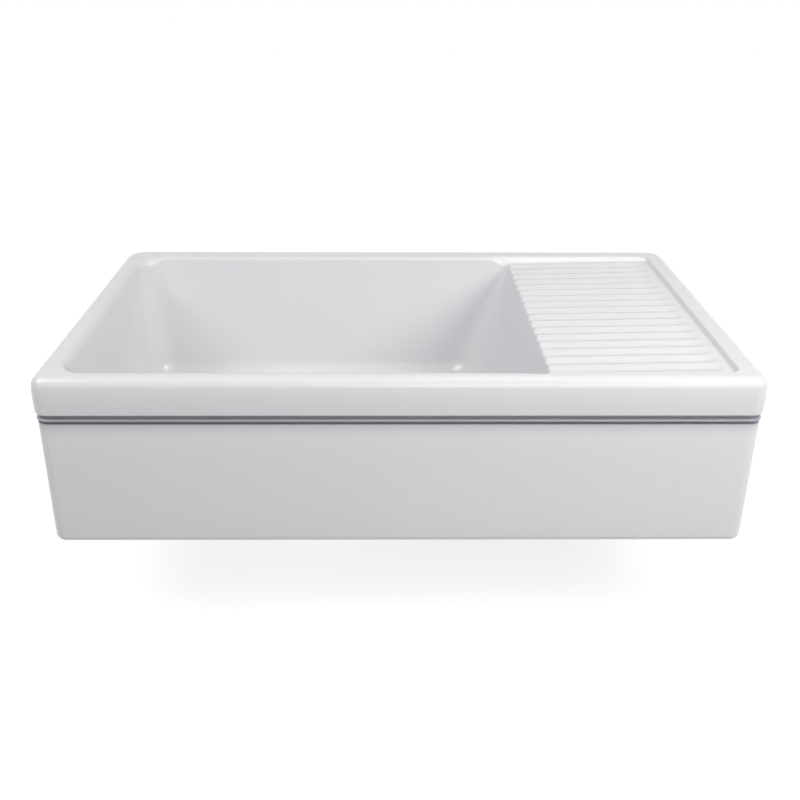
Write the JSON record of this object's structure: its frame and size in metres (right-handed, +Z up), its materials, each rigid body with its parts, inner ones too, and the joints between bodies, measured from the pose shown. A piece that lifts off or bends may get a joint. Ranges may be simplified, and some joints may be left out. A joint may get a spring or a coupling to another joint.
{
  "type": "apron front kitchen sink",
  "caption": "White glazed farmhouse sink with a tall plain apron under a moulded lip, one deep bowl, a fluted drainboard on the right, and a basket strainer with its tailpiece.",
  "frame": {"origin": "centre of the sink's base plane, which rests on the cabinet; the strainer and tailpiece hang below it", "axes": "+X to the right with the drainboard on the right, +Y from the apron to the back, +Z up"},
  "size_m": [0.914, 0.508, 0.393],
  "materials": {
    "glazed_fireclay": "gloss",
    "stainless": "satin",
    "white_foam": "matte",
    "black_rubber": "matte",
    "fibre": "matte",
    "zinc_plated": "satin",
    "white_plastic": "satin",
    "chrome_tube": "polished",
    "chrome_nut": "polished",
    "spring_steel": "satin",
    "black_plastic": "satin"
  },
  "bodies": {
    "sink": {"sink_body": "glazed_fireclay", "strainer_body": "stainless", "flange_seal": "white_foam", "rubber_washer": "black_rubber", "friction_ring": "fibre", "locknut": "zinc_plated", "outlet_washer": "white_plastic", "tailpiece": "chrome_tube", "coupling_nut": "chrome_nut"},
    "stopper": {"stopper_post": "stainless", "stopper_seal": "black_rubber", "seal_washer": "stainless", "stopper_nut": "stainless", "basket_clip": "spring_steel", "pin_clip": "spring_steel", "stopper_knob": "black_plastic"},
    "basket": {"basket_cup": "stainless"}
  },
  "joints": [
    {"name": "stopper_lift", "type": "slide", "parent": "sink", "child": "stopper", "axis": [0, 0, 1], "range_m": [0, 0.3]},
    {"name": "basket_turn", "type": "hinge", "parent": "stopper", "child": "basket", "pos_m": [-0.14433, -0.0075, -0.018], "axis": [0, 0, 1], "continuous": true}
  ]
}
